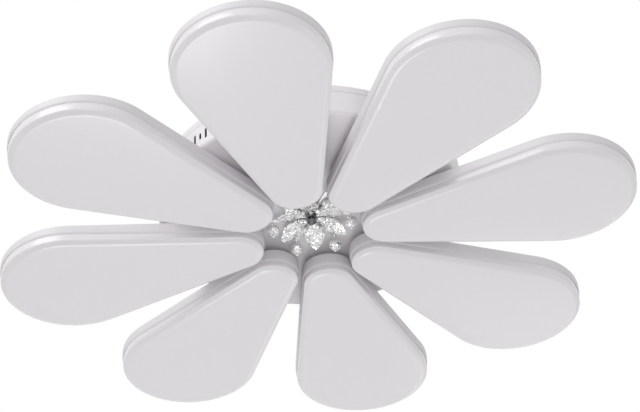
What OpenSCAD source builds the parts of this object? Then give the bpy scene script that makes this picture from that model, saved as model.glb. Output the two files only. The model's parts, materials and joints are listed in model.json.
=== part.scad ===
// Flower-shaped flush ceiling light: a round canopy on a ceiling plate carries eight petal lamps round a
// rosette of cut glass. Millimetres, +Z up, origin at the middle of the ceiling face of the plate.
// Petal 1 lies along +X and the others follow every 45 degrees towards +Y.

/* [Overall] */
// Diameter across the tips of the petal covers
flower_d = 900; // [860:5:960]
// Drop from the ceiling to the underside of the canopy
canopy_h = 50; // [44:1:70]
// Gap between the canopy and the back of each petal, at the petal's conduit
petal_gap = 17; // [14:0.5:30]
// Thickness of a petal at its conduit, from the back of its tray to the rim of its cover
petal_t = 26.5; // [22:0.5:30]
// Slope of the petal's back, below zero where it drops towards the tip
back_tilt = -1; // [-2:0.1:1]
// Slope of the seam between tray and cover, which rises towards the tip
seam_tilt = 0.2; // [0:0.1:1]
// Slope of the petal's front, which drops towards the tip
front_tilt = 0.4; // [0:0.1:1.2]

/* [Ceiling plate] */
// Thickness of the pressed sheet
plate_t = 1.2; // [1:0.1:2]
// Depth of the turned-down rim
plate_rim_h = 10; // [8:0.5:12]
// Depth of the dished middle, which keeps the cable clear of the ceiling
plate_dish_h = 6; // [4:0.5:8]
// Diameter of the dished middle
plate_dish_d = 200; // [160:5:230]
// Pitch circle of the ceiling bolts
ceiling_pcd = 300; // [270:5:340]
// Diameter of the ceiling bolt holes
ceiling_hole_d = 6; // [5:0.5:8]
// Width of the tabs that the canopy is screwed to
tab_w = 24; // [18:1:30]
// Length of the tabs below the middle of their screws
tab_end = 5; // [4:0.5:7]
// Thickness of the tabs
tab_t = 1.5; // [1:0.1:2.5]

/* [Supply cable grommet] */
// Diameter of the hole in the plate
grommet_hole_d = 24; // [20:1:30]
// Bore for the supply cable
grommet_bore_d = 10; // [8:0.5:13]
// Width of the two lips that hold it in the plate
grommet_lip = 3; // [2:0.5:5]
// Thickness of each lip
grommet_lip_t = 2.4; // [2:0.2:3]

/* [Canopy] */
// Outer diameter of the canopy and of the plate's rim
canopy_d = 428; // [420:2:460]
// Thickness of its steel sheet
canopy_wall = 1.2; // [1:0.1:2]
// Rounding between its side and its underside
canopy_corner_r = 5; // [3:0.5:8]
// Shadow gap between the plate's rim and the canopy
seam = 0.6; // [0.4:0.1:1.2]
// Width of a vent slot
slot_w = 4; // [3:0.5:6]
// Length of the two outer slots of each group of three
slot_long = 17; // [12:0.5:20]
// Length of the middle slot of each group
slot_short = 11; // [8:0.5:16]
// Distance between neighbouring slots along the side
slot_pitch = 10.6; // [8:0.2:16]
// Direction of the first group of slots, in degrees from petal 1
slot_angle = 58.8; // [50:0.2:65]
// Depth of the screws and of the slots' middle below the ceiling
screw_drop = 18; // [16:0.5:20]
// Height of the middle of the slots above the underside
slot_rise = 19.7; // [15:0.1:26]
// Diameter of the side screws
side_screw_d = 4; // [3:0.5:5]

/* [Petal trays] */
// Radius of the round outer end of a petal
tip_r = 100.5; // [90:0.5:106]
// Radius of the round inner end of a petal
root_r = 36.5; // [28:0.5:37]
// Distance of the inner end's centre from the middle of the lamp
root_x = 108; // [105:0.5:120]
// Thickness of the tray's steel sheet
tray_t = 1.2; // [1:0.1:2]
// Depth of the tray at the conduit
tray_h = 17.5; // [14:0.5:20]
// Width of the pressed rib along the tray
rib_w = 12; // [8:1:16]
// Depth of the pressed rib
rib_h = 1.5; // [1:0.1:2]

/* [Petal covers] */
// Thickness of the opal acrylic
cover_t = 2.5; // [2:0.1:3.5]
// Gap between the cover's wall and the tray's rim
cover_fit = 0.5; // [0.3:0.1:0.8]
// Gap between the cover's edge and the floor of the tray
cover_seat = 0.3; // [0.2:0.1:0.6]
// Width of the bevel between the wall and the face
bevel_w = 7; // [5:0.5:9]
// Height of the bevel
bevel_h = 2.6; // [2:0.1:6.5]
// Rounding at both edges of the bevel
bevel_round = 1; // [0.5:0.1:1.5]
// Bulge of the face beyond its edge
crown_h = 2.5; // [1.5:0.5:4]

/* [LED boards] */
// Thickness of the board
board_t = 1.6; // [1:0.1:2]
// Distance from the petal's outline to the board's edge
board_inset = 16; // [12:1:18]
// Side of a light-emitting chip
led_w = 3.2; // [2:0.2:5]
// Height of a chip
led_h = 0.9; // [0.6:0.1:1.4]
// Pitch of the chips
led_pitch = 30; // [26:1:36]
// Diameter of the board's three screws
board_screw_d = 3; // [2.5:0.5:3.5]
// Length of the plug over each lead
plug_l = 18; // [14:1:22]
// Width of the plug
plug_w = 12; // [8:1:14]
// Height of the plug
plug_h = 5; // [3:0.5:7]

/* [Petal fixings] */
// Distance of the inner bolt of each petal from the middle
inner_bolt_x = 120; // [115:1:125]
// Distance of the outer bolt of each petal inside the canopy's side
outer_bolt_in = 24; // [20:1:30]
// Diameter of the bolts
bolt_d = 5; // [4:0.5:6]
// Outer diameter of the spacers between canopy and trays
spacer_d = 14; // [12:0.5:16]
// Distance of the lead's conduit from the middle
conduit_x = 155; // [148:1:162]
// Outer diameter of the conduit
conduit_d = 9.6; // [8.4:0.2:11]
// Wall of the conduit
conduit_wall = 1.3; // [1:0.1:1.6]
// Diameter of the sheathed lead of each petal
lead_d = 4.4; // [3.6:0.2:5]

/* [Electrics in the canopy] */
// Length of an LED driver's housing
driver_l = 150; // [130:5:160]
// Width of the housing
driver_w = 42; // [34:1:46]
// Height of the housing
driver_h = 27; // [18:1:30]
// Distance between the two drivers
driver_gap = 34; // [30:1:40]
// Length of the terminal block
block_l = 36; // [30:1:40]
// Width of the terminal block
block_w = 20; // [16:1:26]
// Height of the terminal block
block_h = 14; // [12:1:18]
// Diameter of the welded studs
stud_d = 4; // [3:0.5:5]
// Height of the leads above the canopy's floor
lead_rise = 13; // [11:1:16]
// Diameter of the wires to the terminal block
wire_d = 2.6; // [2:0.2:3]

/* [Glass rosette] */
// Direction of the first crystal, in degrees from petal 1
rosette_angle = 6; // [0:1:30]
// Distance of the large crystals from the middle
crystal_x = 55; // [50:1:60]
// Diameter of the large crystals
crystal_d = 18; // [14:1:20]
// Drop of their centres below the canopy
crystal_drop = 19; // [16:1:24]
// Distance of the small crystals from the middle
bead_x = 22; // [20:0.5:24]
// Diameter of the small crystals
bead_d = 8; // [6:0.5:9]
// Drop of their centres below the canopy
bead_drop = 10; // [8:0.5:14]
// Diameter of the pins that carry the crystals
pin_d = 1.8; // [1.4:0.2:2.4]
// Distance of the tip of a glass leaf from the middle
leaf_tip_x = 52; // [46:1:56]
// Greatest width of a glass leaf
leaf_w = 30; // [24:1:32]
// Greatest thickness of a glass leaf
leaf_t = 6; // [4:0.5:8]
// Drop of the leaf's tip below its root
leaf_drop = 16; // [10:1:22]
// Thickness of the star plate that carries the rosette
star_t = 2; // [1.5:0.5:3]
// Width of the arms of the star plate
star_arm_w = 7; // [6:0.5:9]
// Diameter of the rod through the middle
rod_d = 6; // [5:0.5:8]
// Diameter of the chrome finial
finial_d = 16; // [15:0.5:20]
// Height of the finial
finial_h = 12; // [11:0.5:18]

/* [Hidden] */
petal_n = 8;
crystal_n = 6;
side_n = 4;
ceiling_bolt_n = 4;

// Running clearance round bolts, pins and leads
clear = 0.25;
// Small overlap that joins the parts of one solid, and the overrun of a cut
bite = 0.5;
fine = 96;
round_fn = 48;

// Heights
canopy_top_z = -plate_rim_h - seam;
canopy_z = -canopy_h;
floor_z = canopy_z + canopy_wall;
tray_z = canopy_z - petal_gap;
tray_floor_z = tray_z - tray_t;
tray_edge_z = tray_z - tray_h;
board_z = tray_floor_z - board_t;
rim_z = tray_z - petal_t;
lead_z = floor_z + lead_rise;

// Plan sizes
canopy_r = canopy_d / 2;
outer_bolt_x = canopy_r - outer_bolt_in;
tip_x = flower_d / 2 - tip_r;
slant = acos((root_r - tip_r) / (tip_x - root_x));
tray_gap = cover_fit + tray_t;
driver_y = driver_gap / 2;
driver_turn = 180 / petal_n;

// Bolt, nut and screw proportions
function head_r(d) = 0.95 * d;
function head_h(d) = 0.6 * d;
function nut_r(d) = 0.92 * d;
function nut_h(d) = 0.8 * d;

// Points shared by the petal's outline
function arc(x, r, from, to, n) = [
  for (i = [0 : n - 1])
    let(a = from + (to - from) * i / (n - 1))
    [x + r * cos(a), r * sin(a)]
];

// Heights that change along the petal: z at the conduit and the slope towards the tip
function height(z, tilt, x) = z + (x - conduit_x) * tan(tilt);

// One ring of the cover: the outline grown by o and shrunk by s about the middle of the face
face_x = (tip_x + root_x) / 2 + tip_r - root_r;
tip_steps = 30;
root_steps = 14;
function petal_ring(o, z, tilt, s = 1) = [
  for (p = concat(arc(tip_x, tip_r + o, -slant, slant, tip_steps),
                  arc(root_x, root_r + o, slant, 360 - slant, root_steps)))
    let(x = face_x + (p[0] - face_x) * s)
    [x, p[1] * s, height(z, tilt, x)]
];

// Distance from a point to the petal's outline, negative inside
function petal_edge(x, y) =
  let(h = tip_x - root_x,
      b = (root_r - tip_r) / h,
      a = sqrt(1 - b * b),
      u = x - root_x,
      v = abs(y),
      k = a * u - b * v)
  k < 0 ? norm([u, v]) - root_r : k > a * h ? norm([u - h, v]) - tip_r : a * v + b * u - root_r;

module each_petal() for (k = [0 : petal_n - 1]) rotate(360 / petal_n * k) children();
module at_crystal(k) rotate(rosette_angle + 360 / crystal_n * (k - 1)) children();
module each_crystal() for (k = [1 : crystal_n]) at_crystal(k) children();

// A closed skin through a list of rings with equal counts of points
module loft(rings) {
  n = len(rings[0]);
  m = len(rings);
  polyhedron(
    points = [for (r = rings) each r],
    faces = concat(
      [[for (i = [0 : n - 1]) i]],
      [for (k = [0 : m - 2], i = [0 : n - 1])
        let(j = (i + 1) % n, p = k * n, q = p + n)
        each [[p + i, q + i, p + j], [p + j, q + i, q + j]]],
      [[for (i = [n - 1 : -1 : 0]) (m - 1) * n + i]]
    )
  );
}

// The petal's outline: two round ends joined by straight sides, which start just inside the rounds
side_sink = 0.02;
function side_end(x, r, side) = [x + (r - side_sink) * cos(slant), side * (r - side_sink) * sin(slant)];
module petal_outline(o = 0) {
  tip = tip_r + o;
  root = root_r + o;
  translate([root_x, 0]) circle(root, $fn = fine);
  translate([tip_x, 0]) circle(tip, $fn = fine);
  polygon([
    side_end(tip_x, tip, 1), side_end(root_x, root, 1),
    side_end(root_x, root, -1), side_end(tip_x, tip, -1)
  ]);
}

// All that lies below, or above, a plane that slopes along the petal
reach = 600;
module petal_plane(z, tilt) translate([conduit_x, 0, z]) rotate([0, -tilt, 0]) children();
module half_space() translate([-reach, -reach, 0]) cube([2 * reach, 2 * reach, reach]);
module above(z, tilt) petal_plane(z, tilt) half_space();
module below(z, tilt) petal_plane(z, tilt) translate([0, 0, -reach]) half_space();

// Parts that lie on the sloping floor of the tray
module on_slope() petal_plane(tray_z, back_tilt) translate([-conduit_x, 0, -tray_z]) children();

// A straight slot with round ends, along x and centred
module slot_2d(length, width) {
  square([length - width, width], center = true);
  for (s = [-1, 1]) translate([s * (length - width) / 2, 0]) circle(d = width, $fn = round_fn);
}

module hex_nut(d) {
  difference() {
    cylinder(r = nut_r(d), h = nut_h(d), $fn = 6);
    translate([0, 0, -bite]) cylinder(d = d + clear / 2, h = nut_h(d) + 2 * bite, $fn = round_fn);
  }
}

// Ceiling plate: a pressed pan with a dished middle, a rim and four screw tabs
module plate_profile() {
  dish_r = plate_dish_d / 2;
  translate([dish_r, -plate_t]) square([canopy_r - dish_r, plate_t]);
  translate([dish_r, -plate_dish_h - plate_t]) square([plate_t, plate_dish_h + plate_t]);
  translate([grommet_hole_d / 2, -plate_dish_h - plate_t])
    square([dish_r - grommet_hole_d / 2 + bite, plate_t]);
  translate([canopy_r - plate_t, -plate_rim_h]) square([plate_t, plate_rim_h]);
}

tab_r = canopy_r - canopy_wall - clear;
tab_face = sqrt(tab_r * tab_r - tab_w * tab_w / 4);
boss_h = 3;
tab_h = screw_drop + tab_end;
module plate_tab() {
  difference() {
    union() {
      translate([tab_face - tab_t, -tab_w / 2, -tab_h]) cube([tab_t, tab_w, tab_h - plate_t / 2]);
      translate([tab_face - tab_t - boss_h, 0, -screw_drop]) rotate([0, 90, 0])
        cylinder(r = side_screw_d, h = boss_h + bite, $fn = round_fn);
    }
    translate([tab_face - tab_t - boss_h - bite, 0, -screw_drop]) rotate([0, 90, 0])
      cylinder(d = side_screw_d + clear / 2, h = boss_h + tab_t + 2 * bite, $fn = round_fn);
  }
}

module ceiling_plate() color("gainsboro") {
  difference() {
    rotate_extrude($fn = fine) plate_profile();
    for (k = [0 : ceiling_bolt_n - 1]) rotate(driver_turn + 360 / ceiling_bolt_n * k)
      translate([ceiling_pcd / 2, 0, -plate_t - bite])
        cylinder(d = ceiling_hole_d, h = plate_t + 2 * bite, $fn = round_fn);
  }
  for (k = [0 : side_n - 1]) rotate(360 / side_n * k) plate_tab();
}

// Rubber grommet in the dish
module supply_grommet() color("dimgray") rotate_extrude($fn = fine) {
  hole_r = grommet_hole_d / 2;
  bore_r = grommet_bore_d / 2;
  neck_r = hole_r - clear / 2;
  dish_z = -plate_dish_h;
  translate([bore_r, dish_z - plate_t - grommet_lip_t])
    square([neck_r - bore_r, plate_t + 2 * grommet_lip_t]);
  for (z = [dish_z, dish_z - plate_t - grommet_lip_t])
    translate([neck_r - bite, z]) square([grommet_lip + bite, grommet_lip_t]);
}

// Canopy: a drawn drum, open at the top, with groups of vent slots in its side
module canopy_section(inset) {
  corner = canopy_corner_r - inset;
  wall_r = canopy_r - inset;
  square([wall_r - corner, canopy_corner_r]);
  translate([0, canopy_corner_r]) square([wall_r, canopy_h + canopy_top_z - canopy_corner_r]);
  translate([wall_r - corner, canopy_corner_r]) circle(corner, $fn = round_fn);
}

module canopy_shell() translate([0, 0, canopy_z]) rotate_extrude($fn = fine) difference() {
  canopy_section(0);
  difference() {
    union() {
      canopy_section(canopy_wall);
      translate([0, canopy_corner_r]) square([canopy_r - canopy_wall, canopy_h]);
    }
    translate([-bite, -bite]) square([canopy_r + bite, canopy_wall + bite]);
  }
}

module vent_slots() {
  step = slot_pitch / canopy_r * 180 / PI;
  for (side = [0 : side_n - 1], i = [-1 : 1])
    rotate(slot_angle + 360 / side_n * side + step * i)
      translate([canopy_r - canopy_wall - bite, 0, canopy_z + slot_rise]) rotate([0, 90, 0])
        linear_extrude(canopy_wall + 2 * bite) slot_2d(i == 0 ? slot_short : slot_long, slot_w);
}

module floor_hole(x, d) translate([x, 0, canopy_z - bite])
  cylinder(d = d, h = canopy_wall + 2 * bite, $fn = round_fn);

// Welded studs: two for each driver, one for the terminal block and one for the earth wire
ear_l = 12;
ear_t = 2;
ear_x = driver_l / 2 + ear_l / 2;
block_x = -50;
earth_x = 45;
stud_places = concat(
  [for (sx = [-1, 1], sy = [-1, 1]) [sx * ear_x, sy * (driver_y + driver_w / 2), ear_t]],
  [[block_x, 0, block_h / 2], [earth_x, 0, 0]]
);
stud_nut_h = nut_h(stud_d);
stud_spare = 1.5;

module canopy() color("whitesmoke") {
  difference() {
    canopy_shell();
    vent_slots();
    each_petal() {
      floor_hole(inner_bolt_x, bolt_d + 2 * clear);
      floor_hole(outer_bolt_x, bolt_d + 2 * clear);
      floor_hole(conduit_x, conduit_d + 2 * clear);
    }
    floor_hole(0, rod_d + 2 * clear);
    for (k = [0 : side_n - 1]) rotate(360 / side_n * k)
      translate([canopy_r - canopy_wall - bite, 0, -screw_drop]) rotate([0, 90, 0])
        cylinder(d = side_screw_d + 2 * clear, h = canopy_wall + 2 * bite, $fn = round_fn);
  }
  for (p = stud_places) rotate(driver_turn) translate([p[0], p[1], floor_z - canopy_wall / 2])
    cylinder(d = stud_d, h = canopy_wall / 2 + p[2] + stud_nut_h + stud_spare, $fn = round_fn);
}

// Side screws: a slotted round head outside and a shank into the tab's boss
module side_screw() {
  d = side_screw_d;
  translate([0, 0, tab_face - tab_t - boss_h])
    cylinder(d = d, h = canopy_r - tab_face + tab_t + boss_h + bite, $fn = round_fn);
  translate([0, 0, canopy_r]) difference() {
    cylinder(r = head_r(d), h = head_h(d), $fn = round_fn);
    translate([-d / 2, -d / 10, head_h(d) / 2]) cube([d, d / 5, d]);
  }
}

module canopy_screws() color("silver") for (k = [0 : side_n - 1])
  rotate(360 / side_n * k) translate([0, 0, -screw_drop]) rotate([0, 90, 0]) side_screw();

// LED driver: a closed housing with a lid line and an ear with a hole at each end
lid_h = 5;
lid_step = 0.8;
module driver_box() translate([-driver_l / 2, driver_y, floor_z]) cube([driver_l, driver_w, driver_h]);

module driver(k) color("white") rotate(driver_turn + 180 * (k - 1)) {
  difference() {
    driver_box();
    translate([0, driver_y + driver_w / 2, floor_z + driver_h - lid_h]) difference() {
      cube([driver_l + bite, driver_w + bite, lid_step], center = true);
      cube([driver_l - 2 * lid_step, driver_w - 2 * lid_step, 2 * lid_step], center = true);
    }
  }
  for (s = [-1, 1]) translate([s * ear_x, driver_y + driver_w / 2, floor_z]) difference() {
    translate([-ear_l / 2 - (s > 0 ? bite : 0), -driver_w / 4, 0])
      cube([ear_l + bite, driver_w / 2, ear_t]);
    translate([0, 0, -bite]) cylinder(d = stud_d + 2 * clear, h = ear_t + 2 * bite, $fn = round_fn);
  }
}

// Terminal block: three poles, each with a screw well and a wire way through
pole_n = 3;
module terminal_block() color("ivory") rotate(driver_turn) translate([block_x, 0, floor_z]) difference() {
  pole_w = block_l / pole_n;
  translate([-block_l / 2, -block_w / 2, 0]) cube([block_l, block_w, block_h]);
  for (i = [-1 : 1]) translate([i * pole_w, 0, block_h / 2]) rotate([90, 0, 0])
    cylinder(d = wire_d + 2 * clear, h = block_w + 2 * bite, center = true, $fn = round_fn);
  for (i = [-1, 1], s = [-1, 1]) translate([i * pole_w, s * block_w / 4, block_h / 2])
    cylinder(d = wire_d + 2 * clear, h = block_h, $fn = round_fn);
  translate([0, 0, -bite]) cylinder(d = stud_d + 2 * clear, h = block_h + 2 * bite, $fn = round_fn);
  translate([0, 0, block_h / 2])
    cylinder(r = nut_r(stud_d) + clear, h = block_h, $fn = round_fn);
}

// Clamping screws of the two outer poles
module terminal_screws() color("silver") rotate(driver_turn)
  for (i = [-1, 1], s = [-1, 1])
    translate([block_x + i * block_l / pole_n, s * block_w / 4, 0])
      translate([0, 0, floor_z + (block_h + wire_d) / 2])
        cylinder(d = wire_d, h = block_h / 4, $fn = round_fn);

module stud_nuts() color("silver") rotate(driver_turn)
  for (p = stud_places) translate([p[0], p[1], floor_z + p[2]]) hex_nut(stud_d);

// Wires from the terminal block's outer poles to the drivers on each side
module mains_wires() color("saddlebrown") rotate(driver_turn)
  for (i = [-1, 1], s = [-1, 1])
    translate([block_x + i * block_l / pole_n, s * block_w / 4, floor_z + block_h / 2])
      rotate([-90 * s, 0, 0]) cylinder(d = wire_d, h = driver_y - block_w / 4, $fn = round_fn);

// Sheathed lead: up from the plug through the conduit, round a bend and in to the driver's face
lead_bend_r = 8;
lead_end_x = driver_y + driver_w;
module petal_lead() {
  plug_z = board_z + lead_d / 2 * tan(abs(back_tilt)) + clear / 5;
  translate([conduit_x, 0, plug_z]) cylinder(d = lead_d, h = lead_z - lead_bend_r - plug_z, $fn = round_fn);
  translate([conduit_x - lead_bend_r, 0, lead_z - lead_bend_r]) rotate([90, 0, 0])
    rotate_extrude(angle = 90, $fn = fine) translate([lead_bend_r, 0]) circle(d = lead_d, $fn = round_fn);
  translate([lead_end_x, 0, lead_z]) rotate([0, 90, 0])
    cylinder(d = lead_d, h = conduit_x - lead_bend_r - lead_end_x, $fn = round_fn);
}

module petal_leads() color("white") difference() {
  each_petal() petal_lead();
  for (k = [0, 1]) rotate(driver_turn + 180 * k) driver_box();
}

// Tray: a pressed pan that follows the petal, with a long stiffening rib in its sloping floor
rib_from = outer_bolt_x + 2 * spacer_d;
rib_to = tip_x + tip_r / 2;
module rib(width, low_z, top_z) translate([(rib_from + rib_to) / 2, 0, low_z])
  linear_extrude(top_z - low_z) slot_2d(rib_to - rib_from + width - rib_w, width);

tray_reach = 40;
module petal_block(o) translate([0, 0, tray_z - tray_reach]) linear_extrude(2 * tray_reach) petal_outline(o);
module tray_hole(x, d) translate([x, 0, tray_z - tray_reach])
  cylinder(d = d, h = 2 * tray_reach, $fn = round_fn);

module tray(k) color("lightgray") rotate(360 / petal_n * (k - 1)) difference() {
  union() {
    difference() {
      petal_block(tray_gap);
      above(tray_z, back_tilt);
      below(tray_edge_z, seam_tilt);
      difference() {
        petal_block(cover_fit);
        above(tray_floor_z, back_tilt);
      }
    }
    on_slope() rib(rib_w + 2 * tray_t, tray_z - tray_t / 2, tray_z + rib_h);
  }
  on_slope() {
    rib(rib_w, tray_floor_z - bite, tray_z + rib_h - tray_t);
    for (p = board_screw_places) translate([p[0], p[1], tray_floor_z - bite])
      cylinder(d = board_screw_d + clear / 2, h = tray_t + 2 * bite, $fn = round_fn);
  }
  for (x = [inner_bolt_x, outer_bolt_x]) tray_hole(x, bolt_d + 2 * clear);
  tray_hole(conduit_x, conduit_d + 2 * clear);
}

// LED board: follows the petal inside the cover, with chips on a square grid and a plug over the lead
board_screw_places = [
  [conduit_x - plug_l / 2 - 2 * board_screw_d, 0],
  [tip_x, tip_r - board_inset - 3 * board_screw_d],
  [tip_x, -tip_r + board_inset + 3 * board_screw_d]
];
head_clear = 2;
function clear_of(x, y, holes, r) = min([for (h = holes) norm([x - h[0], y - h[1]])]) > r;
led_rows = ceil(tip_r / led_pitch);
led_columns = floor((tip_x + tip_r - inner_bolt_x) / led_pitch);
led_places = [
  for (i = [1 : led_columns], j = [-led_rows : led_rows])
    let(x = inner_bolt_x + i * led_pitch, y = j * led_pitch)
    if (petal_edge(x, y) < -board_inset - led_w &&
        clear_of(x, y, [[outer_bolt_x, 0], [conduit_x, 0]], spacer_d) &&
        clear_of(x, y, board_screw_places, 2 * head_r(board_screw_d) + led_w))
      [x, y]
];

module led_board(k) color("white") rotate(360 / petal_n * (k - 1)) on_slope() {
  difference() {
    translate([0, 0, board_z]) linear_extrude(board_t) petal_outline(-board_inset);
    for (x = [inner_bolt_x, outer_bolt_x]) translate([x, 0, board_z - bite])
      cylinder(r = head_r(bolt_d) + head_clear, h = board_t + 2 * bite, $fn = round_fn);
    translate([conduit_x, 0, board_z - bite])
      cylinder(d = conduit_d + 2 * clear, h = board_t + 2 * bite, $fn = round_fn);
    for (p = board_screw_places) translate([p[0], p[1], board_z - bite])
      cylinder(d = board_screw_d + 2 * clear, h = board_t + 2 * bite, $fn = round_fn);
  }
  for (p = led_places) translate([p[0] - led_w / 2, p[1] - led_w / 2, board_z - led_h])
    cube([led_w, led_w, led_h]);
  translate([conduit_x - plug_l / 2, -plug_w / 2, board_z - plug_h]) cube([plug_l, plug_w, plug_h]);
}

// Screws that hold the boards
screw_l = 4;
module board_screws() color("silver") each_petal() on_slope() for (p = board_screw_places)
  translate([p[0], p[1], board_z]) {
    translate([0, 0, -head_h(board_screw_d)])
      cylinder(r = head_r(board_screw_d), h = head_h(board_screw_d), $fn = round_fn);
    translate([0, 0, -bite]) cylinder(d = board_screw_d, h = screw_l + bite, $fn = round_fn);
  }

// Cover: a thin opal shell, open towards the tray. A bevel leads from its wall to the face, which bulges
crown_steps = [0.25, 0.5, 0.75, 0.97, 1];
inner_steps = [1, 0.65, 0.3];
face_z = rim_z - bevel_h;
function face_ring(s, lift) =
  petal_ring(-bevel_w, face_z + lift - crown_h * (1 - s * s), -front_tilt, s);
module cover(k) color("white") rotate(360 / petal_n * (k - 1)) {
  back_z = tray_floor_z - cover_seat;
  loft(concat(
    [for (s = crown_steps) face_ring(s, 0)],
    [petal_ring(-bevel_round, rim_z - bevel_round * bevel_h / bevel_w, -front_tilt)],
    [petal_ring(0, rim_z + bevel_round, -front_tilt)],
    [petal_ring(0, back_z, back_tilt), petal_ring(-cover_t, back_z, back_tilt)],
    [petal_ring(-cover_t, rim_z + bevel_round, -front_tilt)],
    [for (s = inner_steps) face_ring(s, cover_t)]
  ));
}

// Spacers, bolts and nuts that hang each tray from the canopy. The spacers' feet are cut to the tray's slope
module each_bolt() for (x = [inner_bolt_x, outer_bolt_x]) translate([x, 0, 0]) children();
spacer_spare = spacer_d;
spacer_l = petal_gap + spacer_spare;

module petal_spacers() color("silver") each_petal() difference() {
  each_bolt() translate([0, 0, tray_z - spacer_spare]) difference() {
    cylinder(d = spacer_d, h = spacer_l, $fn = round_fn);
    translate([0, 0, -bite]) cylinder(d = bolt_d + 2 * clear, h = spacer_l + 2 * bite, $fn = round_fn);
  }
  below(tray_z, back_tilt);
}

bolt_spare = 2;
bolt_top_z = floor_z + nut_h(bolt_d) + bolt_spare;
function head_z(x) =
  height(tray_floor_z, back_tilt, x) - head_r(bolt_d) * tan(abs(back_tilt)) - clear / 10;
module petal_bolts() color("silver") each_petal() for (x = [inner_bolt_x, outer_bolt_x])
  translate([x, 0, head_z(x)]) {
    translate([0, 0, -head_h(bolt_d)]) difference() {
      cylinder(r = head_r(bolt_d), h = head_h(bolt_d), $fn = round_fn);
      translate([0, 0, -bite]) cylinder(r = bolt_d / 3, h = head_h(bolt_d) / 2 + bite, $fn = 6);
    }
    translate([0, 0, -bite]) cylinder(d = bolt_d, h = bolt_top_z - head_z(x) + bite, $fn = round_fn);
  }

module petal_nuts() color("silver") each_petal() each_bolt() translate([0, 0, floor_z]) hex_nut(bolt_d);

// Nylon conduits that guide the leads from the canopy into the trays
conduit_flange = 2.4;
conduit_flange_t = 1.2;
conduit_l = floor_z + conduit_flange_t - tray_floor_z;
module lead_conduits() color("white") each_petal() translate([conduit_x, 0, 0]) difference() {
  union() {
    translate([0, 0, tray_floor_z]) cylinder(d = conduit_d, h = conduit_l, $fn = round_fn);
    translate([0, 0, floor_z])
      cylinder(r = conduit_d / 2 + conduit_flange, h = conduit_flange_t, $fn = round_fn);
  }
  translate([0, 0, tray_floor_z - bite])
    cylinder(r = conduit_d / 2 - conduit_wall, h = conduit_l + 2 * bite, $fn = round_fn);
}

// Star plate under the canopy: a disc and six arms that end in eyes
star_r = finial_d / 2 + leaf_t;
eye_clear = 0.15;
module star_2d() difference() {
  union() {
    circle(star_r, $fn = fine);
    each_crystal() {
      translate([0, -star_arm_w / 2]) square([crystal_x, star_arm_w]);
      translate([crystal_x, 0]) circle(d = star_arm_w, $fn = round_fn);
    }
  }
  circle(rod_d / 2 + clear, $fn = round_fn);
  each_crystal() for (x = [bead_x, crystal_x])
    translate([x, 0]) circle(pin_d / 2 + eye_clear, $fn = round_fn);
}

module rosette_star() color("silver")
  translate([0, 0, canopy_z - star_t]) linear_extrude(star_t) star_2d();

// Rod through canopy and star, with a nut and washer above and the finial below
washer_r = 1.5 * rod_d;
washer_t = 1.2;
rod_in_finial = finial_h / 2;
leaf_root_t = 2.5;
leaf_z = canopy_z - star_t;
finial_z = leaf_z - leaf_root_t;
rod_foot_z = finial_z - rod_in_finial;
rod_top_z = floor_z + washer_t + nut_h(rod_d) + bolt_spare;

module rosette_rod() color("silver") translate([0, 0, rod_foot_z])
  cylinder(d = rod_d, h = rod_top_z - rod_foot_z, $fn = round_fn);

module rod_nut() color("silver") translate([0, 0, floor_z]) {
  difference() {
    cylinder(r = washer_r, h = washer_t, $fn = fine);
    translate([0, 0, -bite]) cylinder(d = rod_d + clear / 2, h = washer_t + 2 * bite, $fn = round_fn);
  }
  translate([0, 0, washer_t]) hex_nut(rod_d);
}

// Finial: a turned cap with a flange, a waist and a round nose
module finial_profile() {
  nose_r = finial_d * 0.42;
  flange_t = finial_h * 0.2;
  translate([0, -flange_t]) square([finial_d / 2, flange_t]);
  translate([0, -finial_h + nose_r]) square([finial_d * 0.3, finial_h - nose_r]);
  intersection() {
    translate([0, nose_r - finial_h]) circle(nose_r, $fn = fine);
    translate([0, -finial_h]) square([finial_d, finial_h]);
  }
}

module finial() color("dimgray") translate([0, 0, finial_z]) difference() {
  rotate_extrude($fn = fine) finial_profile();
  translate([0, 0, -rod_in_finial]) cylinder(d = rod_d + clear / 2, h = finial_h, $fn = round_fn);
}

// Glass leaf: a cut leaf with a flat root under the star plate, which widens, swells and droops to its tip
leaf_root_x = rod_d / 2 + 2 * clear;
leaf_flat_x = finial_d / 2 + clear;
leaf_root_half = leaf_root_x * 0.45;
leaf_stations = [0, 0.12, 0.28, 0.45, 0.62, 0.78, 0.9, 1];
function leaf_x(t) = leaf_flat_x + t * (leaf_tip_x - leaf_flat_x);
function leaf_free(t) = leaf_x(t) * tan(180 / crystal_n) - pin_d / 2 - 2 * clear;
function leaf_half(t) =
  min(leaf_free(t), leaf_root_half + (leaf_w / 2 - leaf_root_half) * pow(sin(177 * t), 0.8));
function leaf_swell(t) = leaf_root_t / 2 + (leaf_t - leaf_root_t) / 2 * sin(180 * t);
function leaf_sink(t) = leaf_root_t / 2 + leaf_drop * pow(t, 1.6);
leaf_section = [[-1, 0], [-0.5, 0.75], [0, 1], [0.5, 0.75], [1, 0], [0.5, -0.75], [0, -1], [-0.5, -0.75]];
function leaf_ring(x, w, h, z) = [for (p = leaf_section) [x, p[0] * w, z + p[1] * h]];

module glass_leaf(k) color([0.9, 0.95, 0.97, 0.5]) at_crystal(k + 0.5) translate([0, 0, leaf_z])
  loft(concat(
    [leaf_ring(leaf_root_x, leaf_root_half, leaf_root_t / 2, -leaf_root_t / 2)],
    [for (t = leaf_stations) leaf_ring(leaf_x(t), leaf_half(t), leaf_swell(t), -leaf_sink(t))]
  ));

// Faceted crystals on pins that hang from the arms of the star
knob_d = 3.6;
module crystal_ball(x, d, drop, facets) translate([x, 0, canopy_z - drop]) difference() {
  sphere(d = d, $fn = facets);
  cylinder(d = pin_d + 2 * clear, h = d + 2 * bite, center = true, $fn = round_fn);
}

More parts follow.
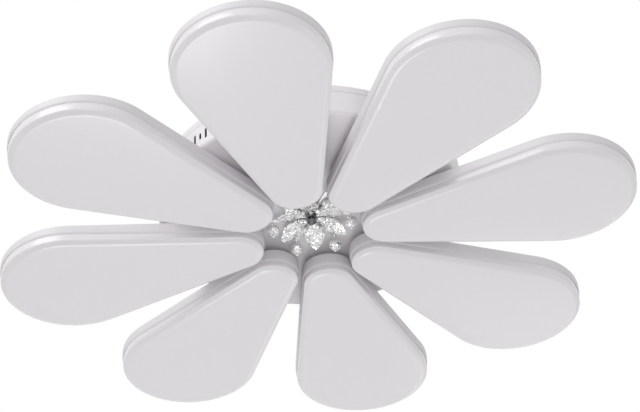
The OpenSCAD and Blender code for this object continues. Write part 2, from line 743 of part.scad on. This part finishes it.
module crystal(k) color([0.9, 0.95, 0.97, 0.5])
  at_crystal(k) crystal_ball(crystal_x, crystal_d, crystal_drop, 12);

module small_crystals() color([0.9, 0.95, 0.97, 0.5])
  each_crystal() crystal_ball(bead_x, bead_d, bead_drop, 8);

module crystal_pin(x, low_z) translate([x, 0, low_z]) {
  cylinder(d = pin_d, h = canopy_z - low_z, $fn = round_fn);
  translate([0, 0, -knob_d / 2 + clear]) sphere(d = knob_d, $fn = round_fn);
}

module crystal_pins() color("silver") each_crystal() {
  crystal_pin(crystal_x, canopy_z - crystal_drop - crystal_d / 2);
  crystal_pin(bead_x, canopy_z - bead_drop - bead_d / 2);
}

ceiling_plate();
supply_grommet();
canopy();
canopy_screws();
driver(1);  // led_driver_1
driver(2);  // led_driver_2
terminal_block();
terminal_screws();
stud_nuts();
mains_wires();
petal_leads();
for (k = [1 : petal_n]) {
  tray(k);
  led_board(k);
  cover(k);
}
petal_spacers();
petal_bolts();
petal_nuts();
lead_conduits();
board_screws();
rosette_star();
rosette_rod();
rod_nut();
finial();
crystal_pins();
small_crystals();
for (k = [1 : crystal_n]) {
  glass_leaf(k);
  crystal(k);
}
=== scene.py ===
"""Looks of a flower-shaped flush ceiling light: opal petals, grey trays, white canopy, cut-glass rosette."""

import json
import math

import bmesh
import bpy
from mathutils import Matrix, Vector, noise


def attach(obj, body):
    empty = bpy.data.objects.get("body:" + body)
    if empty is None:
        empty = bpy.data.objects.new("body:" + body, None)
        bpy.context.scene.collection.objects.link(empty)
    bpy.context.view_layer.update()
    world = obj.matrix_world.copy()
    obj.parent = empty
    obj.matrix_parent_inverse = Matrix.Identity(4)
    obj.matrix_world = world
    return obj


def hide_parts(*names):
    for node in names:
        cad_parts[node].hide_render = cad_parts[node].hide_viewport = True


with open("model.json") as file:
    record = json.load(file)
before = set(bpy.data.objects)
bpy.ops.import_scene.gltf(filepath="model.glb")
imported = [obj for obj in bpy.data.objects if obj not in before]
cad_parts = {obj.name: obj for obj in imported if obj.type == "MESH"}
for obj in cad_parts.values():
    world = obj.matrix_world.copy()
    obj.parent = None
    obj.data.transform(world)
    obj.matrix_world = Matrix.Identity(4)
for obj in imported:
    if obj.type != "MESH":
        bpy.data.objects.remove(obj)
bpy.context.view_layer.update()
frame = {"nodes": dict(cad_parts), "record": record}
scene = bpy.context.scene
MM = 0.001

# ---- Camera: below the light and in front of it, rolled a little ------------------------------------

CAMERA_AT = Vector((0.32675, -1.82962, -1.54961))
CAMERA_TO = Vector((0.02594, -0.07386, -0.0965))
CAMERA_ROLL = math.radians(-4.217)
CAMERA_LENS = 95.555
SENSOR_W = 36.0
CLIP_START, CLIP_END = 0.05, 50


def add_camera():
    forward = (CAMERA_TO - CAMERA_AT).normalized()
    right = forward.cross(Vector((0, 0, 1))).normalized()
    down = -right.cross(forward)
    c, s = math.cos(CAMERA_ROLL), math.sin(CAMERA_ROLL)
    image_x = c * right - s * down
    image_y = s * right + c * down
    data = bpy.data.cameras.new("camera")
    data.lens = CAMERA_LENS
    data.sensor_width = SENSOR_W
    data.clip_start = CLIP_START
    data.clip_end = CLIP_END
    camera = bpy.data.objects.new("camera", data)
    scene.collection.objects.link(camera)
    turn = Matrix((image_x, -image_y, -forward)).transposed()
    camera.matrix_world = Matrix.Translation(CAMERA_AT) @ turn.to_4x4()
    scene.camera = camera


add_camera()

# ---- Sizes, in millimetres, as in the frame ---------------------------------------------------------

# A petal's outline: a small round at the root and a large one at the tip, joined by straight sides
PETALS = 8
ROOT_X, ROOT_R = 108.0, 36.5
TIP_X, TIP_R = 349.5, 100.5
SLANT = math.acos((ROOT_R - TIP_R) / (TIP_X - ROOT_X))
TIP_STEPS, SIDE_STEPS, ROOT_STEPS = 84, 28, 44
FACE_X = (TIP_X + ROOT_X) / 2 + TIP_R - ROOT_R

# Levels of a petal: z at the conduit and the rise for each millimetre towards the tip
CONDUIT_X = 155.0
BACK = (-67.0, -math.tan(math.radians(1.0)))
FLOOR = (-68.2, BACK[1])
SEAM = (-84.5, math.tan(math.radians(0.2)))
RIM = (-93.5, -math.tan(math.radians(0.4)))

# The cover: its wall with a small chamfer where it meets the tray's floor, the bevel round its face with
# the rounding of its two corners, and the crown of the face, which starts on a slight slope. A point FAR
# along the wall or the face gives a corner its direction
COVER_T = 2.5
COVER_CHAMFER = 0.3
BEVEL_W, BEVEL_H = 7.0, 3.9
BEVEL_MIDDLE = (0.3, 0.42)
RIM_ROUND, EDGE_ROUND = 1.2, 3.2
FAR = 12
FACE_SLOPE = 0.3
CROWN_H = 0.9
CROWN_START = 0.2
CROWN_STEPS = 18
INSIDE_RIM = 1.3
INSIDE_SCALES = (1.0, 0.75, 0.5, 0.25)

# The tray: how far it stands out of the cover, its wall and upper edge, and (inset, height) round its lip
TRAY_OUT = 1.7
TRAY_WALL = 1.6
TRAY_EDGE_R = 1.2
TRAY_LIP = ((0, 4), (0.15, 2.8), (0.5, 1.5), (1.05, 0.5), (1.62, 0))
TRAY_SEAT_DROP = 0.4
TRAY_INNER = -26

# The rib along the tray's back: where its round ends stand, and (inset, height) up its side
RIB_X0, RIB_X1, RIB_HALF = 224.0, 394.0, 7.2
RIB_SIDE = ((0.0, -0.6), (0.0, 0.2), (0.5, 0.9), (1.3, 1.35), (2.2, 1.45))
RIB_STEPS = 24

# The rosette: star plate under the canopy, leaves, and crystals with beads on their pins
CRYSTALS = 6
ROSETTE_ANGLE = math.radians(6)
CANOPY_Z = -50.0
LEAF_Z = CANOPY_Z - 2.0
LEAF_ROOT_X, LEAF_FLAT_X, LEAF_TIP_X = 3.5, 8.25, 52.0
LEAF_ROOT_HALF = LEAF_ROOT_X * 0.45
LEAF_HALF = 15
LEAF_TAPER = 177
LEAF_GAP = 1.4
LEAF_T = 2.5
LEAF_SWELL = 1.75
LEAF_DROOP = 16
LEAF_COLUMNS, LEAF_STATIONS = 20, 27
CRYSTAL_X, CRYSTAL_DROP, CRYSTAL_R = 55, 19, 8.9
BEAD_X, BEAD_DROP, BEAD_R = 22, 10, 3.95
BORE_R = 1.15

# The finial's section, as (radius, depth): flange, waist, two rings, nose with a button, and its bore
FINIAL_TOP = LEAF_Z - LEAF_T
FINIAL_SECTION = (
    *((3.1, 0), (7.7, 0), (8.0, 0.3), (8.0, 1.9), (7.7, 2.3), (6.2, 2.5)),
    *((5.0, 2.9), (4.8, 3.6), (5.6, 3.9), (6.2, 4.3)),
    *((6.6, 5.0), (6.7, 5.8), (6.3, 7.2), (5.3, 8.3), (4.9, 7.9)),
    *((4.5, 8.6), (4.0, 10.0), (3.0, 10.8), (2.6, 10.2)),
    *((2.3, 11.0), (1.8, 11.7), (1.0, 11.95), (0.02, 12)),
    *((0.02, 6), (3.1, 6)),
)
FINIAL_SEGMENTS = 64


# ---- Mesh helpers -----------------------------------------------------------------------------------


def finish_piece(name, bm, body, stands_for, material, sharp_deg=None, flat=False):
    """Turns a bmesh in metres into a piece that rides on a body and stands for CAD nodes."""
    bmesh.ops.recalc_face_normals(bm, faces=bm.faces)
    mesh = bpy.data.meshes.new(name)
    bm.to_mesh(mesh)
    bm.free()
    for face in mesh.polygons:
        face.use_smooth = not flat
    if sharp_deg:
        mesh.set_sharp_from_angle(angle=math.radians(sharp_deg))
    mesh.materials.append(material)
    piece = bpy.data.objects.new(name, mesh)
    scene.collection.objects.link(piece)
    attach(piece, body)
    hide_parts(*stands_for)


def add_loops(bm, rings, turn=0.0):
    """Adds the points of each ring, in millimetres, turned about the middle of the light."""
    c, s = math.cos(turn), math.sin(turn)
    loops = []
    for ring in rings:
        loops.append([bm.verts.new(((x * c - y * s) * MM, (x * s + y * c) * MM, z * MM)) for x, y, z in ring])
    return loops


def bridge(bm, a, b):
    """Joins two loops of equal length with a band of four-sided faces."""
    for i in range(len(a)):
        j = (i + 1) % len(a)
        bm.faces.new((a[i], a[j], b[j], b[i]))


def add_solid(bm, rings, turn):
    """Joins closed rings of equal length and closes the first and the last one."""
    loops = add_loops(bm, rings, turn)
    n = len(loops[0])
    for a, b in zip(loops, loops[1:]):
        bridge(bm, a, b)
    for loop in (loops[0], loops[-1]):
        middle = bm.verts.new(sum((v.co for v in loop), Vector()) / n)
        for i in range(n):
            bm.faces.new((loop[i], loop[(i + 1) % n], middle))


def lathe(bm, section, segments):
    """Revolves a closed section of (radius, z) points round the middle of the light."""
    angles = [2 * math.pi * i / segments for i in range(segments)]
    loops = add_loops(bm, [[(r * math.cos(a), r * math.sin(a), z) for a in angles] for r, z in section])
    for a, b in zip(loops, loops[1:] + loops[:1]):
        bridge(bm, a, b)


def arc_points(cx, cz, r, start, end, n):
    """Points (radius, z) on an arc, angles in degrees."""
    angles = [math.radians(start + (end - start) * i / n) for i in range(n + 1)]
    return [(cx + r * math.cos(a), cz + r * math.sin(a)) for a in angles]


def rounded_corner(corner, before, after, reach, steps):
    """A curve that cuts a corner, from a reach before it to a reach after it, towards the points given."""
    x, z = corner
    ax, az = before[0] - x, before[1] - z
    bx, bz = after[0] - x, after[1] - z
    la, lb = math.hypot(ax, az), math.hypot(bx, bz)
    ax, az, bx, bz = ax / la, az / la, bx / lb, bz / lb
    points = []
    for i in range(steps + 1):
        t = i / steps
        u, v = reach * (1 - t) ** 2, reach * t**2
        points.append((x + ax * u + bx * v, z + az * u + bz * v))
    return points


def petal_outline(offset):
    """The petal's outline seen from above, grown by an offset."""

    def arc(x, r, start, span, steps):
        angles = [start + span * i / steps for i in range(steps + 1)]
        return [(x + (r + offset) * math.cos(a), (r + offset) * math.sin(a)) for a in angles]

    def side(up, steps):
        points = []
        for i in steps:
            t = i / SIDE_STEPS
            r = TIP_R + (ROOT_R - TIP_R) * t + offset
            points.append((TIP_X + (ROOT_X - TIP_X) * t + r * math.cos(SLANT), up * r * math.sin(SLANT)))
        return points

    tip = arc(TIP_X, TIP_R, -SLANT, 2 * SLANT, TIP_STEPS)
    root = arc(ROOT_X, ROOT_R, SLANT, 2 * math.pi - 2 * SLANT, ROOT_STEPS)
    return tip + side(1, range(1, SIDE_STEPS)) + root + side(-1, range(SIDE_STEPS - 1, 0, -1))


def petal_ring(offset, level, lift=0.0, scale=1.0):
    """The grown outline, shrunk about the middle of the petal's face, on a sloping level."""
    ring = []
    for x, y in petal_outline(offset):
        x = FACE_X + (x - FACE_X) * scale
        ring.append((x, y * scale, level[0] + lift + (x - CONDUIT_X) * level[1]))
    return ring


# ---- Materials: every finish has its own grain, gloss variation and fine bump -----------------------

DRIFT_ROUGHNESS = 0.75
BUMP_DETAIL = 3
BUMP_DISTANCE = 0.2 * MM


def new_material(name):
    material = bpy.data.materials.new(name)
    material.use_nodes = True
    nodes, links = material.node_tree.nodes, material.node_tree.links
    return material, nodes, links, nodes["Principled BSDF"]


def grained(
    name,
    dark,
    light,
    rough,
    metallic=0.0,
    grain=60.0,
    bump=0.0,
    bump_grain=900.0,
    stretch=(1, 1, 1),
    mottling=10.0,
    ior=1.5,
):
    """A finish whose colour and gloss drift between two values, with a fine bump where bump is given.

    The grains are the scales of the noise, in about so many waves a metre.
    """
    material, nodes, links, shader = new_material(name)
    coords = nodes.new("ShaderNodeTexCoord")
    mapping = nodes.new("ShaderNodeMapping")
    mapping.inputs["Scale"].default_value = stretch
    links.new(coords.outputs["Object"], mapping.inputs["Vector"])
    drift = nodes.new("ShaderNodeTexNoise")
    drift.inputs["Scale"].default_value = grain
    drift.inputs["Detail"].default_value = mottling
    drift.inputs["Roughness"].default_value = DRIFT_ROUGHNESS
    links.new(mapping.outputs["Vector"], drift.inputs["Vector"])
    colour = nodes.new("ShaderNodeMix")
    colour.data_type = "RGBA"
    colour.inputs["A"].default_value = (*dark, 1)
    colour.inputs["B"].default_value = (*light, 1)
    links.new(drift.outputs["Fac"], colour.inputs["Factor"])
    links.new(colour.outputs["Result"], shader.inputs["Base Color"])
    gloss = nodes.new("ShaderNodeMapRange")
    gloss.inputs["To Min"].default_value, gloss.inputs["To Max"].default_value = rough
    links.new(drift.outputs["Fac"], gloss.inputs["Value"])
    links.new(gloss.outputs["Result"], shader.inputs["Roughness"])
    if bump:
        fine = nodes.new("ShaderNodeTexNoise")
        fine.inputs["Scale"].default_value = bump_grain
        fine.inputs["Detail"].default_value = BUMP_DETAIL
        links.new(mapping.outputs["Vector"], fine.inputs["Vector"])
        relief = nodes.new("ShaderNodeBump")
        relief.inputs["Strength"].default_value = bump
        relief.inputs["Distance"].default_value = BUMP_DISTANCE
        links.new(fine.outputs["Fac"], relief.inputs["Height"])
        links.new(relief.outputs["Normal"], shader.inputs["Normal"])
    shader.inputs["Metallic"].default_value = metallic
    shader.inputs["IOR"].default_value = ior
    return material


def opal_acrylic():
    """Satin opal: light scatters a little under its surface, and a thin clear skin lies on top."""
    dark, light = (0.790, 0.771, 0.793), (0.815, 0.796, 0.818)
    material = grained("opal_acrylic", dark, light, (0.20, 0.28), grain=160.0, bump=0.05, bump_grain=420.0)
    shader = material.node_tree.nodes["Principled BSDF"]
    shader.inputs["Subsurface Weight"].default_value = 0.25
    shader.inputs["Subsurface Radius"].default_value = (4 * MM, 4 * MM, 4 * MM)
    shader.inputs["Subsurface Scale"].default_value = 1.0
    shader.inputs["Coat Weight"].default_value = 0.25
    shader.inputs["Coat Roughness"].default_value = 0.12
    return material


def cut_glass(name, clearness, cell, tilt, silvered):
    """Glass covered with cuts, cell millimetres wide, that each lean their own way and differ in clearness.

    The cuts that make up the silvered share reflect like a mirror, as cuts with foil behind them do.
    """
    material = grained(name, (0.93, 0.93, 0.93), (0.98, 0.98, 0.98), (0.02, 0.09), grain=150.0, ior=1.52)
    nodes, links = material.node_tree.nodes, material.node_tree.links
    shader = nodes["Principled BSDF"]
    coords = next(n for n in nodes if n.type == "TEX_COORD")
    cuts = nodes.new("ShaderNodeTexVoronoi")
    cuts.inputs["Scale"].default_value = 1.0 / (cell * MM)
    links.new(coords.outputs["Object"], cuts.inputs["Vector"])
    # A cut's own colour, from 0 to 1 in each channel, leans the normal by up to tilt either way
    lean = nodes.new("ShaderNodeVectorMath")
    lean.operation = "MULTIPLY_ADD"
    lean.inputs[1].default_value = (2 * tilt, 2 * tilt, 2 * tilt)
    lean.inputs[2].default_value = (-tilt, -tilt, -tilt)
    links.new(cuts.outputs["Color"], lean.inputs[0])
    surface = nodes.new("ShaderNodeNewGeometry")
    leaning = nodes.new("ShaderNodeVectorMath")
    leaning.operation = "ADD"
    links.new(surface.outputs["Normal"], leaning.inputs[0])
    links.new(lean.outputs[0], leaning.inputs[1])
    unit = nodes.new("ShaderNodeVectorMath")
    unit.operation = "NORMALIZE"
    links.new(leaning.outputs[0], unit.inputs[0])
    links.new(unit.outputs[0], shader.inputs["Normal"])
    # Its red channel sets how clear it is, and its green one whether it is silvered
    share = nodes.new("ShaderNodeSeparateColor")
    links.new(cuts.outputs["Color"], share.inputs[0])
    clear = nodes.new("ShaderNodeMapRange")
    clear.inputs["To Min"].default_value, clear.inputs["To Max"].default_value = clearness
    links.new(share.outputs["Red"], clear.inputs["Value"])
    links.new(clear.outputs["Result"], shader.inputs["Transmission Weight"])
    silver = nodes.new("ShaderNodeMath")
    silver.operation = "GREATER_THAN"
    silver.inputs[1].default_value = 1.0 - silvered
    links.new(share.outputs["Green"], silver.inputs[0])
    links.new(silver.outputs[0], shader.inputs["Metallic"])
    return material


# The finish of each material slot in the record; arguments: dark and light colour, roughness range
FINISH = {
    "opal_acrylic": opal_acrylic(),
    "white_paint": grained(
        "white_paint",
        (0.79, 0.77, 0.79),
        (0.84, 0.82, 0.84),
        (0.34, 0.44),
        grain=140.0,
        bump=0.12,
        bump_grain=1500.0,
    ),
    "grey_paint": grained(
        "grey_paint",
        (0.72, 0.70, 0.725),
        (0.77, 0.75, 0.775),
        (0.42, 0.52),
        grain=140.0,
        bump=0.15,
        bump_grain=1700.0,
    ),
    "board_laminate": grained(
        "board_mask",
        (0.80, 0.80, 0.77),
        (0.86, 0.86, 0.83),
        (0.35, 0.5),
        grain=70.0,
        bump=0.1,
    ),
    "white_housing": grained(
        "white_moulding",
        (0.76, 0.76, 0.74),
        (0.82, 0.82, 0.80),
        (0.45, 0.6),
        grain=40.0,
        bump=0.2,
        bump_grain=1200.0,
    ),
    "brown_sheath": grained(
        "brown_sheath",
        (0.10, 0.045, 0.02),
        (0.15, 0.07, 0.035),
        (0.4, 0.55),
        grain=90.0,
        bump=0.1,
    ),
    "black_rubber": grained(
        "black_rubber",
        (0.02, 0.02, 0.02),
        (0.045, 0.045, 0.045),
        (0.6, 0.8),
        grain=80.0,
        bump=0.25,
        bump_grain=1400.0,
    ),
    "zinc_steel": grained(
        "zinc_plate",
        (0.52, 0.53, 0.55),
        (0.66, 0.67, 0.68),
        (0.24, 0.4),
        metallic=1.0,
        grain=160.0,
        bump=0.1,
        stretch=(1, 1, 0.3),
        mottling=5.0,
    ),
    "polished_chrome": grained(
        "polished_chrome",
        (0.84, 0.84, 0.84),
        (0.90, 0.90, 0.90),
        (0.22, 0.34),
        metallic=1.0,
        bump=0.02,
    ),
    "dark_chrome": grained(
        "dark_chrome",
        (0.13, 0.13, 0.135),
        (0.22, 0.22, 0.225),
        (0.14, 0.24),
        metallic=1.0,
        grain=200.0,
        bump=0.04,
    ),
    "clear_glass": cut_glass("cut_glass", (0.0, 0.3), cell=2.4, tilt=0.33, silvered=0.48),
}
LEAF_GLASS = cut_glass("pebbled_glass", (0.0, 0.45), cell=2.0, tilt=0.38, silvered=0.52)

# The CAD nodes that stay in view take their slot's finish
for part in frame["record"]["subparts"]:
    materials = frame["nodes"][part["node"]].data.materials
    materials.clear()
    materials.append(LEAF_GLASS if part["node"].startswith("glass_leaf") else FINISH[part["material_slot"]])


# ---- Petals: covers and trays -----------------------------------------------------------------------


def cover_rings():
    """From the middle of the face out over the bevel and the wall, and back inside."""
    wall, rim = (0, FAR), (0, 0)
    edge, face = (-BEVEL_W, -BEVEL_H), (-BEVEL_W - FAR, -BEVEL_H - FACE_SLOPE)
    bevel = rounded_corner(rim, wall, edge, RIM_ROUND, steps=4)
    bevel += [(-BEVEL_W * t, -BEVEL_H * t) for t in BEVEL_MIDDLE]
    bevel += rounded_corner(edge, rim, face, EDGE_ROUND, steps=8)
    outer = [petal_ring(-COVER_CHAMFER, FLOOR, -COVER_CHAMFER), petal_ring(0, FLOOR, -2 * COVER_CHAMFER)]
    outer += [petal_ring(offset, RIM, lift) for offset, lift in bevel]
    face_offset, face_lift = bevel[-1]
    for i in range(1, CROWN_STEPS):
        s = math.cos(math.pi / 2 * i / CROWN_STEPS)
        outer.append(petal_ring(face_offset, RIM, face_lift - (CROWN_H - CROWN_START) * (1 - s**4), s))
    inner = [
        petal_ring(-COVER_T + COVER_CHAMFER, FLOOR, -COVER_CHAMFER),
        petal_ring(-COVER_T, FLOOR, -2 * COVER_CHAMFER),
        petal_ring(-COVER_T, RIM, INSIDE_RIM),
    ]
    for s in INSIDE_SCALES:
        inner.append(petal_ring(-BEVEL_W, RIM, -BEVEL_H + COVER_T - CROWN_H * (1 - s * s), s))
    return list(reversed(outer)) + inner


def tray_rings():
    """From the tray's back over its rounded edge, down its wall to the lip, and in to the cover's seat."""
    edge = arc_points(TRAY_OUT - TRAY_EDGE_R, -TRAY_EDGE_R, TRAY_EDGE_R, 90, 0, n=4)
    rings = [petal_ring(TRAY_INNER, BACK), petal_ring(TRAY_OUT - TRAY_WALL, BACK)]
    rings += [petal_ring(offset, BACK, lift) for offset, lift in edge]
    rings += [petal_ring(TRAY_OUT - inset, SEAM, lift) for inset, lift in TRAY_LIP]
    rings += [petal_ring(TRAY_OUT - TRAY_EDGE_R, FLOOR, -TRAY_SEAT_DROP)]
    rings += [petal_ring(TRAY_OUT - TRAY_WALL, FLOOR), petal_ring(TRAY_INNER, FLOOR)]
    return rings


def rib_rings():
    """The pressed rib along the back of the tray: a long low pillow with round ends."""
    ends = [(RIB_X1, -math.pi / 2), (RIB_X0, math.pi / 2)]
    rings = []
    for inset, height in RIB_SIDE:
        r = RIB_HALF - inset
        ring = []
        for end_x, start in ends:
            for i in range(RIB_STEPS + 1):
                a = start + math.pi * i / RIB_STEPS
                x = end_x + r * math.cos(a)
                ring.append((x, r * math.sin(a), BACK[0] + height + (x - CONDUIT_X) * BACK[1]))
        rings.append(ring)
    return rings


def add_cover(k):
    bm = bmesh.new()
    add_solid(bm, cover_rings(), math.radians(360 / PETALS * k))
    name, body, stands_for = f"opal_cover_{k + 1}", f"cover_{k + 1}", [f"petal_cover_{k + 1}"]
    finish_piece(name, bm, body, stands_for, FINISH["opal_acrylic"], sharp_deg=55)


def add_tray(k):
    bm = bmesh.new()
    for rings in (tray_rings(), rib_rings()):
        add_solid(bm, rings, math.radians(360 / PETALS * k))
    name, stands_for = f"tray_skin_{k + 1}", [f"petal_tray_{k + 1}"]
    finish_piece(name, bm, "light", stands_for, FINISH["grey_paint"], sharp_deg=50)


for k in range(PETALS):
    add_cover(k)
for k in range(PETALS):
    add_tray(k)

# ---- Rosette ----------------------------------------------------------------------------------------

NOISE_GAIN = 1.8
NOISE_SPACING = 1.7
NOISE_SHIFT = Vector((3.1, 7.7, 1.3))
# How far a leaf's cuts move its surface along it, and how they change its width and thickness
CUT_ALONG = 0.25
CUT_WIDTH = (0.97, 0.03)
CUT_THICKNESS = (0.88, 0.2)


def rosette_turn(place):
    """Angle of a place in the rosette: whole numbers are crystals, and the leaves stand halfway between."""
    return ROSETTE_ANGLE + math.radians(360 / CRYSTALS * place)


def uneven(x, y, z):
    """A value from about -1 to 1 that differs from cut to cut and is the same on each run.

    The noise is zero at whole numbers, so the points are spaced and shifted to miss most of them.
    """
    return NOISE_GAIN * noise.noise(Vector((x, y, z)) * NOISE_SPACING + NOISE_SHIFT)


def leaf_rings(seed):
    """Hammered leaf: a lens section whose cuts rise and fall along and across it."""
    angles = [2 * math.pi * i / LEAF_COLUMNS for i in range(LEAF_COLUMNS)]
    section = [(math.cos(a), math.sin(a) * (0.75 + 0.25 * abs(math.sin(a)))) for a in angles]
    root_z = LEAF_Z - LEAF_T / 2
    rings = [[(LEAF_ROOT_X, a * LEAF_ROOT_HALF, root_z + b * LEAF_T / 2) for a, b in section]]
    last = LEAF_STATIONS - 1
    for i in range(LEAF_STATIONS):
        t = i / last
        x = LEAF_FLAT_X + t * (LEAF_TIP_X - LEAF_FLAT_X)
        free = x * math.tan(math.pi / CRYSTALS) - LEAF_GAP
        spread = math.sin(math.radians(LEAF_TAPER * t)) ** 0.8
        half = min(free, LEAF_ROOT_HALF + (LEAF_HALF - LEAF_ROOT_HALF) * spread)
        swell = LEAF_T / 2 + LEAF_SWELL * math.sin(math.pi * t)
        z = root_z - LEAF_DROOP * t**1.6
        ring = []
        for j, (a, b) in enumerate(section):
            cut = uneven(i, j, seed) if 0 < i < last else 0.0
            wide = CUT_WIDTH[0] + CUT_WIDTH[1] * cut
            thick = CUT_THICKNESS[0] + CUT_THICKNESS[1] * cut
            ring.append((x + CUT_ALONG * cut, a * half * wide, z + b * swell * thick))
        rings.append(ring)
    return rings


def cut_ball(bm, x, z, r, turn, rows, columns):
    """A faceted crystal with a bore: rows of kites, every second row turned by half a facet."""
    low = math.asin(BORE_R / r)
    rings = []
    for j in range(rows + 1):
        v = low + (math.pi - 2 * low) * j / rows
        angles = [2 * math.pi * (i + 0.5 * (j % 2)) / columns for i in range(columns)]
        rings.append(
            [
                (x + r * math.sin(v) * math.cos(a), r * math.sin(v) * math.sin(a), z + r * math.cos(v))
                for a in angles
            ]
        )
    loops = add_loops(bm, rings, turn)
    for j in range(rows):
        a, b = loops[j], loops[j + 1]
        for i in range(columns):
            n = (i + 1) % columns
            if j % 2:
                bm.faces.new((a[i], a[n], b[n]))
                bm.faces.new((a[i], b[n], b[i]))
            else:
                bm.faces.new((a[i], a[n], b[i]))
                bm.faces.new((a[n], b[n], b[i]))
    bridge(bm, loops[-1], loops[0])


def add_leaf(k):
    bm = bmesh.new()
    add_solid(bm, leaf_rings(k + 1), rosette_turn(k + 0.5))
    name, stands_for = f"cut_leaf_{k + 1}", [f"glass_leaf_{k + 1}"]
    finish_piece(name, bm, "light", stands_for, LEAF_GLASS, flat=True)


def add_crystal(k):
    bm = bmesh.new()
    cut_ball(bm, CRYSTAL_X, CANOPY_Z - CRYSTAL_DROP, CRYSTAL_R, rosette_turn(k), rows=9, columns=14)
    name, stands_for = f"cut_crystal_{k + 1}", [f"crystal_{k + 1}"]
    finish_piece(name, bm, "light", stands_for, FINISH["clear_glass"], flat=True)


def add_beads():
    bm = bmesh.new()
    for k in range(CRYSTALS):
        cut_ball(bm, BEAD_X, CANOPY_Z - BEAD_DROP, BEAD_R, rosette_turn(k), rows=7, columns=10)
    glass = FINISH["clear_glass"]
    finish_piece("cut_beads", bm, "light", ["small_crystals"], glass, flat=True)


def add_finial():
    bm = bmesh.new()
    lathe(bm, [(r, FINIAL_TOP - depth) for r, depth in FINIAL_SECTION], FINIAL_SEGMENTS)
    finish_piece("turned_finial", bm, "light", ["finial"], FINISH["dark_chrome"], sharp_deg=40)


for k in range(CRYSTALS):
    add_leaf(k)
    add_crystal(k)
add_beads()
add_finial()

# ---- Light, world and floor -------------------------------------------------------------------------

# Square area lamps that aim at the light's middle: name, place and edge in metres, watts
LAMP_AIM = Vector((0, 0, -0.09))
LAMPS = (
    ("key", (-1.34, -2.15, 1.32), 1.8, 34),
    ("below", (-0.77, 1.14, -2.47), 1.0, 12),
    ("front", (0.53, -1.73, -2.10), 1.0, 12),
    ("back", (0.79, 4.50, -2.12), 2.0, 8),
)
AMBIENT = 0.58
FLOOR_Z = -6.5
FLOOR_HALF = 4.5


def add_lamp(name, at, size, watts):
    data = bpy.data.lights.new(name, "AREA")
    data.shape = "RECTANGLE"
    data.size = data.size_y = size
    data.energy = watts
    lamp = bpy.data.objects.new(name, data)
    scene.collection.objects.link(lamp)
    lamp.location = at
    lamp.rotation_euler = (LAMP_AIM - Vector(at)).to_track_quat("-Z", "Y").to_euler()


def add_world():
    """White where the camera, a reflection or a look through glass sees it, and dimmer as a light."""
    world = bpy.data.worlds.new("studio")
    scene.world = world
    world.use_nodes = True
    nodes, links = world.node_tree.nodes, world.node_tree.links
    nodes.clear()
    path = nodes.new("ShaderNodeLightPath")
    seen = nodes.new("ShaderNodeMath")
    seen.operation = "MAXIMUM"
    links.new(path.outputs["Is Camera Ray"], seen.inputs[0])
    links.new(path.outputs["Is Glossy Ray"], seen.inputs[1])
    through = nodes.new("ShaderNodeMath")
    through.operation = "MAXIMUM"
    links.new(seen.outputs[0], through.inputs[0])
    links.new(path.outputs["Is Transmission Ray"], through.inputs[1])
    mix = nodes.new("ShaderNodeMixShader")
    links.new(through.outputs[0], mix.inputs["Fac"])
    for socket, strength in ((1, AMBIENT), (2, 1.0)):
        background = nodes.new("ShaderNodeBackground")
        background.inputs["Color"].default_value = (1, 1, 1, 1)
        background.inputs["Strength"].default_value = strength
        links.new(background.outputs[0], mix.inputs[socket])
    output = nodes.new("ShaderNodeOutputWorld")
    links.new(mix.outputs[0], output.inputs["Surface"])


def add_floor():
    """A pale floor far below the light, so that it never hides the light in a view from below."""
    bm = bmesh.new()
    bmesh.ops.create_grid(bm, x_segments=1, y_segments=1, size=FLOOR_HALF)
    mesh = bpy.data.meshes.new("floor")
    bm.to_mesh(mesh)
    bm.free()
    floor = bpy.data.objects.new("floor", mesh)
    scene.collection.objects.link(floor)
    floor.location = (0, 0, FLOOR_Z)
    dark, light = (0.84, 0.84, 0.84), (0.88, 0.88, 0.88)
    mesh.materials.append(grained("pale_floor", dark, light, (0.7, 0.8), grain=3.0))


for lamp in LAMPS:
    add_lamp(*lamp)
add_world()
add_floor()
scene.view_settings.view_transform = "Standard"
